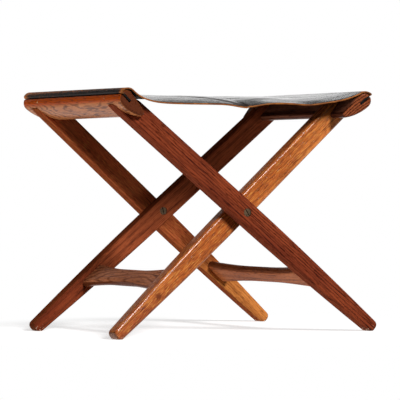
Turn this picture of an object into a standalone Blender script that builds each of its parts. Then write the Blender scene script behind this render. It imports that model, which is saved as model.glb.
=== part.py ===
"""Folding stool: two crossed hardwood leg frames and a slung leather seat.

The outer frame carries the left rail and the right stretcher, the inner frame the right
rail and the left stretcher. Both frames turn about one axis, which runs across the stool
at pivot height. Each frame has its own axes with their origin on that axis: X along the
legs towards the rail, Y across the stool, Z square to the frame and up. "Reach" is a
distance along X and "rise" a distance along Z. Units are metres, +Z up, floor at Z = 0.
"""

import math
from dataclasses import dataclass

import bmesh
import bpy
from mathutils import Matrix, Vector

MM = 0.001

# Stance
PIVOT_HEIGHT = 197.5 * MM
LEG_SLOPE = math.radians(39.7)
INNER_LEG_CENTRE = 125.0 * MM
LEG_GAP = 3.5 * MM
OUTER_SPLAY = 0.064
INNER_SPLAY = 0.054

# Legs
LEG_WIDTH = 36.4 * MM
LEG_THICKNESS = 24.0 * MM
LEG_EDGE_RADIUS = 5.0 * MM
FOOT_WIDTH = 19.5 * MM
FOOT_TAPER_POWER = 1.75
TOE_RADIUS = 8.0 * MM
TOE_FLAT_DEPTH = 1.7 * MM
FORK_LOW_CURVE = 30.0 * MM
FORK_HIGH_CURVE = 22.0 * MM
FORK_LOW_OVERHANG = 3.5 * MM
FORK_HIGH_INSET = 8.4 * MM
FORK_LIP = 1.2 * MM

# Rails: a drop-shaped section, thick at the top, its lower side swelling by the belly;
# the ends are cut on the slant, longest at the top, where they stand past the leather
# by the overhang
RAIL_OVERHANG = 0.5 * MM
RAIL_REACH = 287.5 * MM
RAIL_TOP_RADIUS = 13.4 * MM
RAIL_TOP_RISE = -2.4 * MM
RAIL_TIP_RADIUS = 5.5 * MM
RAIL_TIP_RISE = 0.3 * MM
RAIL_DEPTH = 38.0 * MM
RAIL_END_SLANT = 0.2
RAIL_END_RADIUS = 4.4 * MM
RAIL_BELLY = 3.2 * MM

# Slit along the top of each rail, with the leather and its wedge strip
SLIT_DEPTH = 22.0 * MM
SLIT_RISE = 0.3 * MM
LEATHER_THICKNESS = 2.4 * MM
WEDGE_THICKNESS = 1.85 * MM
WEDGE_SET_BACK = 2.0 * MM
LIP_PEG_DIAMETER = 3.0 * MM
LIP_PEG_INSET = 3.0 * MM
LIP_PEG_END_ROOM = 55.0 * MM

# Pegs that lock each leg's fork to its rail
FORK_PEG_DIAMETER = 7.0 * MM
FORK_PEG_INSET = 10.0 * MM
FORK_PEG_BLIND_WOOD = 7.0 * MM

# Stretchers: spool-shaped boards in the plane of their frame
STRETCHER_REACH = -168.0 * MM
STRETCHER_WAIST = 31.0 * MM
STRETCHER_END_WIDTH = 49.0 * MM
STRETCHER_THICKNESS = 14.0 * MM
STRETCHER_EDGE_RADIUS = 6.4 * MM
STRETCHER_SPOOL_POWER = 2.2
TENON_WIDTH = 30.0 * MM
TENON_THICKNESS = 9.0 * MM
TENON_LENGTH = 15.0 * MM

# Pivots: a slotted screw in a slotted sleeve nut, with a washer between the legs
HEAD_DIAMETER = 13.0 * MM
HEAD_THICKNESS = 2.2 * MM
HEAD_DOME = 0.4 * MM
HEAD_SHOULDER = 0.7
HEAD_SINK = 0.2 * MM
SLEEVE_DIAMETER = 8.0 * MM
SLEEVE_SHORTFALL = 12.0 * MM
SCREW_DIAMETER = 5.0 * MM
SCREW_GRIP = 22.0 * MM
SCREW_END_ROOM = 3.0 * MM
SLOT_WIDTH = 1.6 * MM
SLOT_DEPTH = 1.1 * MM
SCREW_SLOT_TURN = math.radians(-17.0)
NUT_SLOT_TURN = math.radians(-35.0)
WASHER_DIAMETER = 17.0 * MM
WASHER_THICKNESS = 1.8 * MM

# Leather seat, at its hang between the rails
SEAT_WIDTH = 345.0 * MM
SEAT_TAIL_SET_BACK = 0.5 * MM
SEAT_SAG_MIDDLE = 6.5 * MM
SEAT_SAG_FRONT = 19.4 * MM
SEAT_SAG_REAR = 3.0 * MM
SEAT_SAG_POWER = 5.3
SEAT_DROOP_POWER = 3.0
FRONT_DIP_DEPTH = 5.4 * MM
FRONT_DIP_PLACE = -2.0 * MM
FRONT_DIP_WIDTH = 29.0 * MM
FRONT_WAVE_DEPTH = 2.4 * MM
FRONT_WAVE_PLACE = 113.0 * MM
FRONT_WAVE_WIDTH = 28.0 * MM
REAR_WAVE_DEPTH = 3.0 * MM
REAR_WAVE_PLACE = 115.0 * MM
REAR_WAVE_WIDTH = 50.0 * MM

# Clearances
FIT_GAP = 0.3 * MM
LEATHER_GAP = 0.25 * MM
CUT_OVERRUN = 20.0 * MM
MERGE_DISTANCE = 0.01 * MM
SAME_LEVEL = 0.5 * MM

# Fineness of curves
TOP_SEGMENTS = 18
TIP_SEGMENTS = 6
BELLY_SEGMENTS = 6
CURVE_SEGMENTS = 6
TAPER_SEGMENTS = 9
TOE_SEGMENTS = 5
EDGE_SEGMENTS = 3
ROUND_STEPS = 24
SPOOL_SEGMENTS = 12
SPAN_SEGMENTS = 12
WRAP_SEGMENTS = 5
BEND_SEGMENTS = 4
SLIT_SEGMENTS = 1
SEAT_ROWS = 12
SMOOTH_ANGLE = math.radians(35.0)

# Sizes that follow from the values above
OUTER_LEG_CENTRE = INNER_LEG_CENTRE + LEG_THICKNESS + LEG_GAP
FOOT_REACH = TOE_RADIUS + (
    PIVOT_HEIGHT - TOE_RADIUS + TOE_FLAT_DEPTH - (FOOT_WIDTH / 2 - TOE_RADIUS) * math.cos(LEG_SLOPE)
) / math.sin(LEG_SLOPE)
SLIT_WIDTH = LEATHER_THICKNESS + WEDGE_THICKNESS + 3 * LEATHER_GAP
LEATHER_SLIT_RISE = SLIT_RISE - LEATHER_GAP - LEATHER_THICKNESS / 2
WEDGE_TOP_RISE = SLIT_RISE - LEATHER_THICKNESS - 2 * LEATHER_GAP
RAIL_TIP_REACH = RAIL_REACH - RAIL_DEPTH
RAIL_LIP_REACH = RAIL_REACH + RAIL_TOP_RADIUS
SLIT_FLOOR_REACH = RAIL_LIP_REACH - SLIT_DEPTH
FORK_PEG_REACH = RAIL_TIP_REACH - RAIL_TIP_RADIUS + FORK_PEG_INSET
FORK_ROOT_REACH = RAIL_REACH - RAIL_TOP_RADIUS
RAIL_LENGTH = SEAT_WIDTH + 2 * RAIL_OVERHANG
LIP_PEG_SPACING = RAIL_LENGTH - 2 * LIP_PEG_END_ROOM
SEAT_TAIL_WIDTH = RAIL_LENGTH - 2 * (RAIL_END_SLANT * SLIT_DEPTH + SEAT_TAIL_SET_BACK)


@dataclass(frozen=True)
class LegFrame:
    """One of the two crossed frames: a rail, two legs and a stretcher."""

    name: str
    rail_side: str
    stretcher_side: str
    heading: float
    leg_centre: float
    splay: float

    @property
    def front(self):
        """Sign of the frame's Y that points to the front of the stool."""
        return -round(math.cos(self.heading))


OUTER = LegFrame("outer", "left", "right", math.pi, OUTER_LEG_CENTRE, OUTER_SPLAY)
INNER = LegFrame("inner", "right", "left", 0.0, INNER_LEG_CENTRE, INNER_SPLAY)


def clear_scene():
    """Remove whatever the scene holds."""
    for item in list(bpy.data.objects):
        bpy.data.objects.remove(item, do_unlink=True)


def material(name, colour, roughness, metallic=0.0):
    """Make a plain Principled material."""
    made = bpy.data.materials.new(name)
    made.use_nodes = True
    shader = made.node_tree.nodes["Principled BSDF"]
    shader.inputs["Base Color"].default_value = (*colour, 1.0)
    shader.inputs["Roughness"].default_value = roughness
    shader.inputs["Metallic"].default_value = metallic
    made.diffuse_color = (*colour, 1.0)
    return made


def make_finishes():
    """Make one material for each kind of piece."""
    return {
        "rail": material("oiled_teak_rail", (0.33, 0.115, 0.036), 0.42),
        "leg": material("oiled_teak_leg", (0.29, 0.095, 0.030), 0.40),
        "stretcher": material("oiled_teak_stretcher", (0.24, 0.075, 0.025), 0.42),
        "wedge": material("dark_wedge_wood", (0.012, 0.020, 0.020), 0.60),
        "peg": material("pale_peg_wood", (0.46, 0.24, 0.10), 0.50),
        "steel": material("dulled_steel", (0.17, 0.15, 0.115), 0.45, 1.0),
        "washer": material("washer_brass", (0.42, 0.30, 0.12), 0.40, 1.0),
        "leather": material("black_saddle_leather", (0.022, 0.023, 0.028), 0.38),
    }


def add_object(name, shape, finish=None, parent=None):
    """Turn a bmesh into a smooth-shaded object; without a finish it is a hidden cutter."""
    bmesh.ops.recalc_face_normals(shape, faces=shape.faces)
    mesh = bpy.data.meshes.new(name)
    shape.to_mesh(mesh)
    shape.free()
    mesh.shade_smooth()
    mesh.set_sharp_from_angle(angle=SMOOTH_ANGLE)
    made = bpy.data.objects.new(name, mesh)
    bpy.context.scene.collection.objects.link(made)
    made.parent = parent
    if finish is None:
        made.hide_render = True
        made.display_type = "WIRE"
    else:
        mesh.materials.append(finish)
    return made


def combine(target, other, operation="DIFFERENCE"):
    """Cut one object with another, or join it on."""
    change = target.modifiers.new(f"{operation.lower()}_{other.name}", "BOOLEAN")
    change.object = other
    change.operation = operation
    change.solver = "EXACT"


def box(low, high):
    """Make a block from its lowest and highest corners."""
    shape = bmesh.new()
    size = Vector(high) - Vector(low)
    middle = (Vector(high) + Vector(low)) / 2
    place = Matrix.Translation(middle) @ Matrix.Diagonal((*size, 1.0))
    bmesh.ops.create_cube(shape, size=1.0, matrix=place)
    return shape


def extruded(points, along):
    """Extrude a closed outline by a vector."""
    shape = bmesh.new()
    face = shape.faces.new([shape.verts.new(point) for point in points])
    grown = bmesh.ops.extrude_face_region(shape, geom=[face])
    moved = [item for item in grown["geom"] if isinstance(item, bmesh.types.BMVert)]
    bmesh.ops.translate(shape, vec=along, verts=moved)
    return shape


def turned(profile):
    """Turn a profile of (radius, Y) points about the Y axis."""
    shape = bmesh.new()
    verts = [shape.verts.new((radius, across, 0.0)) for radius, across in profile]
    edges = [shape.edges.new(pair) for pair in zip(verts, verts[1:])]
    bmesh.ops.spin(
        shape, geom=verts + edges, cent=(0, 0, 0), axis=(0, 1, 0),
        angle=2 * math.pi, steps=ROUND_STEPS, use_merge=True,
    )
    bmesh.ops.remove_doubles(shape, verts=shape.verts, dist=MERGE_DISTANCE)
    return shape


def upright_rod(radius, low_rise, high_rise, reach, across):
    """Make a round rod that stands square to a frame, along its Z."""
    shape = bmesh.new()
    place = Matrix.Translation((reach, across, (low_rise + high_rise) / 2))
    bmesh.ops.create_cone(
        shape, cap_ends=True, segments=ROUND_STEPS, radius1=radius, radius2=radius,
        depth=high_rise - low_rise, matrix=place,
    )
    return shape


def arc(centre, radius, start, end, segments):
    """Give points along an arc, as pairs."""
    turns = [start + (end - start) * step / segments for step in range(segments + 1)]
    return [(centre[0] + radius * math.cos(t), centre[1] + radius * math.sin(t)) for t in turns]


def bezier(start, lead, tail, end, segments):
    """Give points along a cubic curve, as pairs."""
    points = []
    for step in range(segments + 1):
        t = step / segments
        weights = ((1 - t) ** 3, 3 * t * (1 - t) ** 2, 3 * t * t * (1 - t), t ** 3)
        points.append(tuple(
            sum(weight * place[axis] for weight, place in zip(weights, (start, lead, tail, end)))
            for axis in (0, 1)
        ))
    return points


def drop_outline(growth=0.0):
    """Give a rail's section in (reach, rise): two circles, with a straight upper side between them
    and a swelling lower one.
    """
    top = (RAIL_REACH, RAIL_TOP_RISE)
    tip = (RAIL_TIP_REACH, RAIL_TIP_RISE)
    lean = math.atan2(top[1] - tip[1], top[0] - tip[0])
    span = math.hypot(top[0] - tip[0], top[1] - tip[1])
    wrap = math.acos((RAIL_TIP_RADIUS - RAIL_TOP_RADIUS) / span)
    upper = lean + wrap
    lower = lean - wrap
    swell = 4 * RAIL_BELLY / RAIL_DEPTH
    around_top = arc(top, RAIL_TOP_RADIUS + growth, lower + swell, upper, TOP_SEGMENTS)
    around_tip = arc(tip, RAIL_TIP_RADIUS + growth, upper, lower - swell + 2 * math.pi, TIP_SEGMENTS)
    outward = (math.cos(lower), math.sin(lower))
    belly = []
    for step in range(1, BELLY_SEGMENTS):
        t = step / BELLY_SEGMENTS
        bulge = 4 * RAIL_BELLY * t * (1 - t)
        belly.append(tuple(
            start + (end - start) * t + bulge * out
            for start, end, out in zip(around_tip[-1], around_top[0], outward)
        ))
    return around_top + around_tip + belly


def drop_side(reach, side):
    """Give the rise of the line along a rail's upper (+1) or lower (-1) side, without the belly."""
    slope = (RAIL_TOP_RISE - RAIL_TIP_RISE + side * (RAIL_TOP_RADIUS - RAIL_TIP_RADIUS)) / RAIL_DEPTH
    return RAIL_TIP_RISE + side * RAIL_TIP_RADIUS + slope * (reach - RAIL_TIP_REACH)


def half_width(reach):
    """Give half a leg's width: even above the pivot, tapering to the foot below it."""
    share = max(-reach, 0.0) / FOOT_REACH
    return (LEG_WIDTH + (FOOT_WIDTH - LEG_WIDTH) * share ** FOOT_TAPER_POWER) / 2


def leg_outline():
    """Give a leg's outline in (reach, rise), with one point inside the notch for the rail."""
    half = LEG_WIDTH / 2
    toe_reach = TOE_RADIUS - FOOT_REACH
    toe_rise = half_width(toe_reach) - TOE_RADIUS
    stations = [toe_reach * (1 - step / TAPER_SEGMENTS) for step in range(TAPER_SEGMENTS + 1)]
    lower = [(reach, -half_width(reach)) for reach in stations]
    upper = [(reach, half_width(reach)) for reach in reversed(stations)]
    low_reach = RAIL_REACH + FORK_LOW_OVERHANG
    low_rise = drop_side(low_reach, -1)
    low_side = bezier(
        (low_reach - FORK_LOW_CURVE, -half),
        (low_reach - FORK_LOW_CURVE / 2, -half),
        (low_reach - FORK_LOW_CURVE / 4, low_rise - FORK_LIP),
        (low_reach, low_rise), CURVE_SEGMENTS,
    )
    high_reach = RAIL_REACH - FORK_HIGH_INSET
    high_rise = drop_side(high_reach, 1) + FORK_LIP
    high_side = bezier(
        (high_reach, high_rise),
        (high_reach - FORK_HIGH_CURVE / 2, high_rise),
        (high_reach - FORK_HIGH_CURVE / 2, half),
        (high_reach - FORK_HIGH_CURVE, half), CURVE_SEGMENTS,
    )
    fork_root = [(FORK_ROOT_REACH, RAIL_TOP_RISE)]
    toe_upper = arc((toe_reach, toe_rise), TOE_RADIUS, math.pi / 2, math.pi, TOE_SEGMENTS)
    toe_lower = arc((toe_reach, -toe_rise), TOE_RADIUS, math.pi, 1.5 * math.pi, TOE_SEGMENTS)
    toe = toe_upper[1:] + toe_lower[:-1]
    return lower + low_side + fork_root + high_side + upper + toe


def leg_shape():
    """Make a plain leg about its own middle plane, with all its long edges rounded."""
    points = [Vector((reach, -LEG_THICKNESS / 2, rise)) for reach, rise in leg_outline()]
    shape = extruded(points, (0, LEG_THICKNESS, 0))

    def on_rim(edge):
        ends = [vert.co for vert in edge.verts]
        same_face = abs(ends[0].y - ends[1].y) < SAME_LEVEL
        at_root = any(abs(end.x - FORK_ROOT_REACH) < MERGE_DISTANCE for end in ends)
        return same_face and not at_root

    rim = [edge for edge in shape.edges if on_rim(edge)]
    bmesh.ops.bevel(
        shape, geom=rim, offset=LEG_EDGE_RADIUS, offset_type="OFFSET", segments=EDGE_SEGMENTS,
        profile=0.5, affect="EDGES", clamp_overlap=True, material=-1,
    )
    bmesh.ops.remove_doubles(shape, verts=shape.verts, dist=MERGE_DISTANCE)
    return shape


def leg_middle(frame, side, reach):
    """Give the across place of a leg's middle at a reach; the legs spread towards the feet."""
    return side * (frame.leg_centre - frame.splay * reach)


def stretcher_face(frame, reach):
    """Give the across place of a leg's inner face at a reach, as seen by the stretcher."""
    return leg_middle(frame, 1, reach) - LEG_THICKNESS / 2 * math.hypot(1.0, frame.splay)


def stretcher_shape(frame):
    """Make a spool-shaped board that ends against the inner faces of its two legs."""
    half_span = stretcher_face(frame, STRETCHER_REACH) - FIT_GAP
    chains = []
    for side in (1, -1):
        chain = []
        for step in range(SPOOL_SEGMENTS + 1):
            share = side * (1 - 2 * step / SPOOL_SEGMENTS)
            spread = abs(share) ** STRETCHER_SPOOL_POWER
            half = (STRETCHER_WAIST + (STRETCHER_END_WIDTH - STRETCHER_WAIST) * spread) / 2
            across = share * (half_span - side * frame.splay * half)
            chain.append(Vector((STRETCHER_REACH + side * half, across, -STRETCHER_THICKNESS / 2)))
        chains.append(chain)
    shape = extruded(chains[0] + chains[1], (0, 0, STRETCHER_THICKNESS))
    end_share = half_span / SPOOL_SEGMENTS

    def on_long_side(edge):
        ends = [vert.co for vert in edge.verts]
        level = abs(ends[0].z - ends[1].z) < SAME_LEVEL
        short = abs(ends[0].x - ends[1].x) < STRETCHER_WAIST / 2
        return level and short and abs(ends[0].y - ends[1].y) > end_share

    rim = [edge for edge in shape.edges if on_long_side(edge)]
    bmesh.ops.bevel(
        shape, geom=rim, offset=STRETCHER_EDGE_RADIUS, offset_type="OFFSET",
        segments=EDGE_SEGMENTS, profile=0.5, affect="EDGES", clamp_overlap=True, material=-1,
    )
    return shape


def tenon_bar(frame, growth=0.0):
    """Make the bar whose two ends are a stretcher's tenons, or the cutter for their mortises."""
    reach = TENON_WIDTH / 2 + growth
    rise = TENON_THICKNESS / 2 + growth
    across = stretcher_face(frame, STRETCHER_REACH) + TENON_LENGTH + growth
    return box(
        (STRETCHER_REACH - reach, -across, -rise), (STRETCHER_REACH + reach, across, rise)
    )


def slot_cutter(name, face, turn, parent):
    """Make the cutter for a screwdriver slot in a head whose outer face lies at Y = face."""
    shape = box(
        (-HEAD_DIAMETER, face - SLOT_DEPTH, -SLOT_WIDTH / 2),
        (HEAD_DIAMETER, face + CUT_OVERRUN, SLOT_WIDTH / 2),
    )
    bmesh.ops.rotate(shape, cent=(0, 0, 0), matrix=Matrix.Rotation(turn, 3, "Y"), verts=shape.verts)
    return add_object(name, shape, parent=parent)


def head_profile(face, outward):
    """Give the turned outline of a slotted head, from its domed face to its underside."""
    radius = HEAD_DIAMETER / 2
    under = face - outward * HEAD_THICKNESS
    shoulder = face - outward * HEAD_DOME * HEAD_SHOULDER ** 2
    rim = face - outward * HEAD_DOME
    return [(0.0, face), (radius * HEAD_SHOULDER, shoulder), (radius, rim), (radius, under)]


def build_pivot(name, parent, side, finishes):
    """Build one pivot: screw, sleeve nut and washer, on the frames' common axis."""
    holder = bpy.data.objects.new(f"{name}_pivot_axis", None)
    bpy.context.scene.collection.objects.link(holder)
    holder.parent = parent
    holder.rotation_euler = (0.0, 0.0, 0.0 if side > 0 else math.pi)
    outer_face = OUTER_LEG_CENTRE + LEG_THICKNESS / 2 - HEAD_SINK
    inner_face = INNER_LEG_CENTRE - LEG_THICKNESS / 2 + HEAD_SINK
    sleeve_end = outer_face - SLEEVE_SHORTFALL
    screw_end = sleeve_end - SCREW_GRIP
    bore_end = screw_end - SCREW_END_ROOM
    bore = SCREW_DIAMETER / 2 + FIT_GAP
    screw = head_profile(outer_face, 1) + [
        (SCREW_DIAMETER / 2, outer_face - HEAD_THICKNESS), (SCREW_DIAMETER / 2, screw_end),
        (0.0, screw_end),
    ]
    nut = head_profile(inner_face, -1) + [
        (SLEEVE_DIAMETER / 2, inner_face + HEAD_THICKNESS), (SLEEVE_DIAMETER / 2, sleeve_end),
        (bore, sleeve_end), (bore, bore_end), (0.0, bore_end),
    ]
    middle = INNER_LEG_CENTRE + (LEG_THICKNESS + LEG_GAP) / 2
    rim = WASHER_DIAMETER / 2
    hole = SLEEVE_DIAMETER / 2 + FIT_GAP
    low = middle - WASHER_THICKNESS / 2
    high = middle + WASHER_THICKNESS / 2
    washer = [(rim, low), (rim, high), (hole, high), (hole, low), (rim, low)]
    made = add_object(f"{name}_pivot_screw", turned(screw), finishes["steel"], holder)
    combine(made, slot_cutter(f"{name}_screw_slot", outer_face, SCREW_SLOT_TURN, holder))
    made = add_object(f"{name}_pivot_sleeve_nut", turned(nut), finishes["steel"], holder)
    nut_slot = slot_cutter(f"{name}_nut_slot", -inner_face, NUT_SLOT_TURN, holder)
    nut_slot.rotation_euler = (0.0, 0.0, math.pi)
    combine(made, nut_slot)
    add_object(f"{name}_pivot_washer", turned(washer), finishes["washer"], holder)


def pivot_cutter(name, parent):
    """Make the cutter for a pivot's bore and the seats of its two heads, in all four legs."""
    bore = SLEEVE_DIAMETER / 2 + FIT_GAP
    seat = HEAD_DIAMETER / 2 + FIT_GAP
    outer_seat = OUTER_LEG_CENTRE + LEG_THICKNESS / 2 - HEAD_SINK - HEAD_THICKNESS - FIT_GAP
    inner_seat = INNER_LEG_CENTRE - LEG_THICKNESS / 2 + HEAD_SINK + HEAD_THICKNESS + FIT_GAP
    far = outer_seat + CUT_OVERRUN
    near = inner_seat - CUT_OVERRUN
    profile = [(0.0, far), (seat, far), (seat, outer_seat), (bore, outer_seat),
               (bore, inner_seat), (seat, inner_seat), (seat, near), (0.0, near)]
    shape = turned(profile)
    mirrored = turned([(radius, -across) for radius, across in profile])
    mesh = bpy.data.meshes.new(name)
    mirrored.to_mesh(mesh)
    mirrored.free()
    shape.from_mesh(mesh)
    bpy.data.meshes.remove(mesh)
    return add_object(name, shape, parent=parent)


def build_frame(frame, finishes, floor):
    """Build one crossed frame on an empty that sits on the pivot axis."""
    axis = bpy.data.objects.new(f"{frame.name}_frame_axis", None)
    bpy.context.scene.collection.objects.link(axis)
    axis.location = (0.0, 0.0, PIVOT_HEIGHT)
    axis.rotation_euler = (0.0, -LEG_SLOPE, frame.heading)

    half_rail = RAIL_LENGTH / 2
    rail_points = [Vector((reach, -half_rail, rise)) for reach, rise in drop_outline()]
    rail_shape = extruded(rail_points, (0, RAIL_LENGTH, 0))
    end_edges = [edge for edge in rail_shape.edges
                 if abs(edge.verts[0].co.y - edge.verts[1].co.y) < SAME_LEVEL]
    for vert in rail_shape.verts:
        vert.co.y -= math.copysign(RAIL_END_SLANT * (RAIL_LIP_REACH - vert.co.x), vert.co.y)
    bmesh.ops.bevel(
        rail_shape, geom=end_edges, offset=RAIL_END_RADIUS, offset_type="OFFSET",
        segments=EDGE_SEGMENTS, profile=0.5, affect="EDGES", clamp_overlap=True, material=-1,
    )
    rail = add_object(f"{frame.rail_side}_seat_rail", rail_shape, finishes["rail"], axis)
    slit = add_object(f"{frame.rail_side}_rail_slit", box(
        (SLIT_FLOOR_REACH, -half_rail - CUT_OVERRUN, SLIT_RISE - SLIT_WIDTH),
        (RAIL_LIP_REACH + CUT_OVERRUN, half_rail + CUT_OVERRUN, SLIT_RISE),
    ), parent=axis)
    combine(rail, slit)
    wedge_half = half_rail - RAIL_END_SLANT * SLIT_DEPTH - WEDGE_SET_BACK
    add_object(f"{frame.rail_side}_wedge_strip", box(
        (SLIT_FLOOR_REACH + FIT_GAP, -wedge_half, WEDGE_TOP_RISE - WEDGE_THICKNESS),
        (RAIL_LIP_REACH - WEDGE_SET_BACK, wedge_half, WEDGE_TOP_RISE),
    ), finishes["wedge"], axis)

    notch_points = [Vector((reach, -half_rail, rise)) for reach, rise in drop_outline(FIT_GAP)]
    notch = add_object(f"{frame.name}_fork_notch", extruded(notch_points, (0, RAIL_LENGTH, 0)),
                       parent=axis)
    mortises = add_object(f"{frame.name}_mortises", tenon_bar(frame, FIT_GAP), parent=axis)
    bores = pivot_cutter(f"{frame.name}_pivot_bores", axis)

    lip_reach = RAIL_LIP_REACH - LIP_PEG_INSET
    lip_drop = math.sqrt(RAIL_TOP_RADIUS ** 2 - (lip_reach - RAIL_REACH) ** 2)
    lip_rise = RAIL_TOP_RISE - lip_drop
    lip_top = SLIT_RISE - SLIT_WIDTH - FIT_GAP
    fork_low = -LEG_WIDTH / 2 + FORK_PEG_BLIND_WOOD
    fork_high = LEG_WIDTH / 2 - FIT_GAP
    peg_radius = FORK_PEG_DIAMETER / 2
    lip_radius = LIP_PEG_DIAMETER / 2

    for place, side in (("front", frame.front), ("rear", -frame.front)):
        across = leg_middle(frame, side, FORK_PEG_REACH)
        peg = upright_rod(peg_radius, fork_low, fork_high, FORK_PEG_REACH, across)
        add_object(f"{frame.name}_{place}_leg_peg", peg, finishes["peg"], axis)
        peg_hole = add_object(f"{frame.name}_{place}_peg_hole", upright_rod(
            peg_radius + FIT_GAP, fork_low - FIT_GAP, fork_high + CUT_OVERRUN, FORK_PEG_REACH, across,
        ), parent=axis)
        combine(rail, peg_hole)

        lip_across = side * LIP_PEG_SPACING / 2
        lip_peg = upright_rod(lip_radius, lip_rise, lip_top, lip_reach, lip_across)
        add_object(f"{frame.rail_side}_{place}_lip_peg", lip_peg, finishes["peg"], axis)
        lip_hole = add_object(f"{frame.rail_side}_{place}_lip_hole", upright_rod(
            lip_radius + FIT_GAP, lip_rise - CUT_OVERRUN, lip_top + 2 * FIT_GAP, lip_reach, lip_across,
        ), parent=axis)
        combine(rail, lip_hole)

        leg = add_object(f"{frame.name}_{place}_leg", leg_shape(), finishes["leg"], axis)
        leg.location = (0.0, side * frame.leg_centre, 0.0)
        leg.rotation_euler = (0.0, 0.0, -side * math.atan(frame.splay))
        for cutter in (notch, mortises, bores, peg_hole, floor):
            combine(leg, cutter)

    stretcher = add_object(f"{frame.stretcher_side}_stretcher", stretcher_shape(frame),
                           finishes["stretcher"], axis)
    tenons = add_object(f"{frame.name}_tenons", tenon_bar(frame), parent=axis)
    combine(stretcher, tenons, "UNION")
    return axis


def seat_sag(across):
    """Give how far the leather sags between the rails: most at the front edge, least at the rear."""
    edge = SEAT_SAG_REAR if across > 0 else SEAT_SAG_FRONT
    share = abs(across) / (SEAT_WIDTH / 2)
    return SEAT_SAG_MIDDLE + (edge - SEAT_SAG_MIDDLE) * share ** SEAT_DROOP_POWER


def seat_fold(place, across):
    """Give the extra drop of the leather's waves, which grow towards its edges."""
    def hollow(depth, middle, width):
        return depth * math.exp(-((place - middle) / width) ** 2)

    edge = (abs(across) / (SEAT_WIDTH / 2)) ** SEAT_DROOP_POWER
    if across > 0:
        return edge * hollow(REAR_WAVE_DEPTH, REAR_WAVE_PLACE, REAR_WAVE_WIDTH)
    dip = hollow(FRONT_DIP_DEPTH, FRONT_DIP_PLACE, FRONT_DIP_WIDTH)
    return edge * (dip + hollow(FRONT_WAVE_DEPTH, FRONT_WAVE_PLACE, FRONT_WAVE_WIDTH))


def seat_half_profile(across, side):
    """Give the leather's middle line in (X, Z) from the stool's middle to one rail's slit."""
    cos, sin = math.cos(LEG_SLOPE), math.sin(LEG_SLOPE)

    def world(reach, rise):
        return (reach * cos - rise * sin, PIVOT_HEIGHT + reach * sin + rise * cos)

    wrap = LEATHER_GAP + LEATHER_THICKNESS / 2
    radius = RAIL_TOP_RADIUS + wrap
    centre = (RAIL_REACH, RAIL_TOP_RISE)
    sag = seat_sag(across)
    half_span = world(*centre)[0]
    lean = math.atan(SEAT_SAG_POWER * sag / half_span)
    leave = math.pi / 2 - LEG_SLOPE + lean
    corner_turn = math.asin((SLIT_RISE - RAIL_TOP_RISE) / RAIL_TOP_RADIUS)
    corner = (RAIL_REACH + RAIL_TOP_RADIUS * math.cos(corner_turn), SLIT_RISE)
    over_rail = [world(*point) for point in arc(centre, radius, leave, corner_turn, WRAP_SEGMENTS)]
    bend = [world(*point) for point in arc(corner, wrap, corner_turn, -math.pi / 2, BEND_SEGMENTS)]
    tail_end = SLIT_FLOOR_REACH + FIT_GAP + LEATHER_GAP
    tail = [world(corner[0] + (tail_end - corner[0]) * (step + 1) / SLIT_SEGMENTS, LEATHER_SLIT_RISE)
            for step in range(SLIT_SEGMENTS)]
    edge_x, edge_z = over_rail[0]
    span = []
    for step in range(SPAN_SEGMENTS):
        share = math.sin(math.pi / 2 * step / SPAN_SEGMENTS)
        hang = 1 - share ** SEAT_SAG_POWER
        drop = (sag + seat_fold(side * share * edge_x, across)) * hang
        span.append((share * edge_x, edge_z - drop))
    return [(side * x, z) for x, z in span + over_rail + bend[1:] + tail]


def build_seat(finish):
    """Build the leather as one sheet that wraps over both rails and ends in their slits.

    In the slits it narrows with the slant of the rails' ends.
    """
    shape = bmesh.new()
    steps = SPAN_SEGMENTS + WRAP_SEGMENTS + BEND_SEGMENTS + SLIT_SEGMENTS
    bmesh.ops.create_grid(shape, x_segments=2 * steps, y_segments=SEAT_ROWS, size=1.0)
    profiles = {}
    for vert in shape.verts:
        across = vert.co.y * SEAT_WIDTH / 2
        place = round(vert.co.x * steps)
        side = 1 if place >= 0 else -1
        key = (round(across, 6), side)
        if key not in profiles:
            profiles[key] = seat_half_profile(across, side)
        x, z = profiles[key][abs(place)]
        narrowing = SEAT_TAIL_WIDTH / SEAT_WIDTH if abs(place) == steps else 1.0
        vert.co = Vector((x, narrowing * across, z))
    seat = add_object("leather_seat", shape, finish)
    sheet = seat.modifiers.new("leather_thickness", "SOLIDIFY")
    sheet.thickness = LEATHER_THICKNESS
    sheet.offset = 0.0
    sheet.use_even_offset = True


def main():
    """Build the stool, open."""
    clear_scene()
    finishes = make_finishes()
    reach = FOOT_REACH + CUT_OVERRUN
    floor = add_object("floor_cut", box((-reach, -reach, -CUT_OVERRUN), (reach, reach, 0.0)))
    outer_axis = build_frame(OUTER, finishes, floor)
    build_frame(INNER, finishes, floor)
    for place, side in (("front", OUTER.front), ("rear", -OUTER.front)):
        build_pivot(place, outer_axis, side, finishes)
    build_seat(finishes["leather"])


main()
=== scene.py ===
"""Looks of the folding stool: oiled teak frames, dulled steel pivots and a slung leather seat.

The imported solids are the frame. Wood, wedges, pegs and metal keep their shape and get procedural
finishes. The leather is modelled anew as one fine sheet, which stands for its plain solid.
"""

import logging
import math
from collections.abc import Callable
from dataclasses import dataclass
from enum import Enum
from functools import partial

import bmesh
import bpy
import numpy as np
from mathutils import Matrix, Vector, noise


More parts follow.
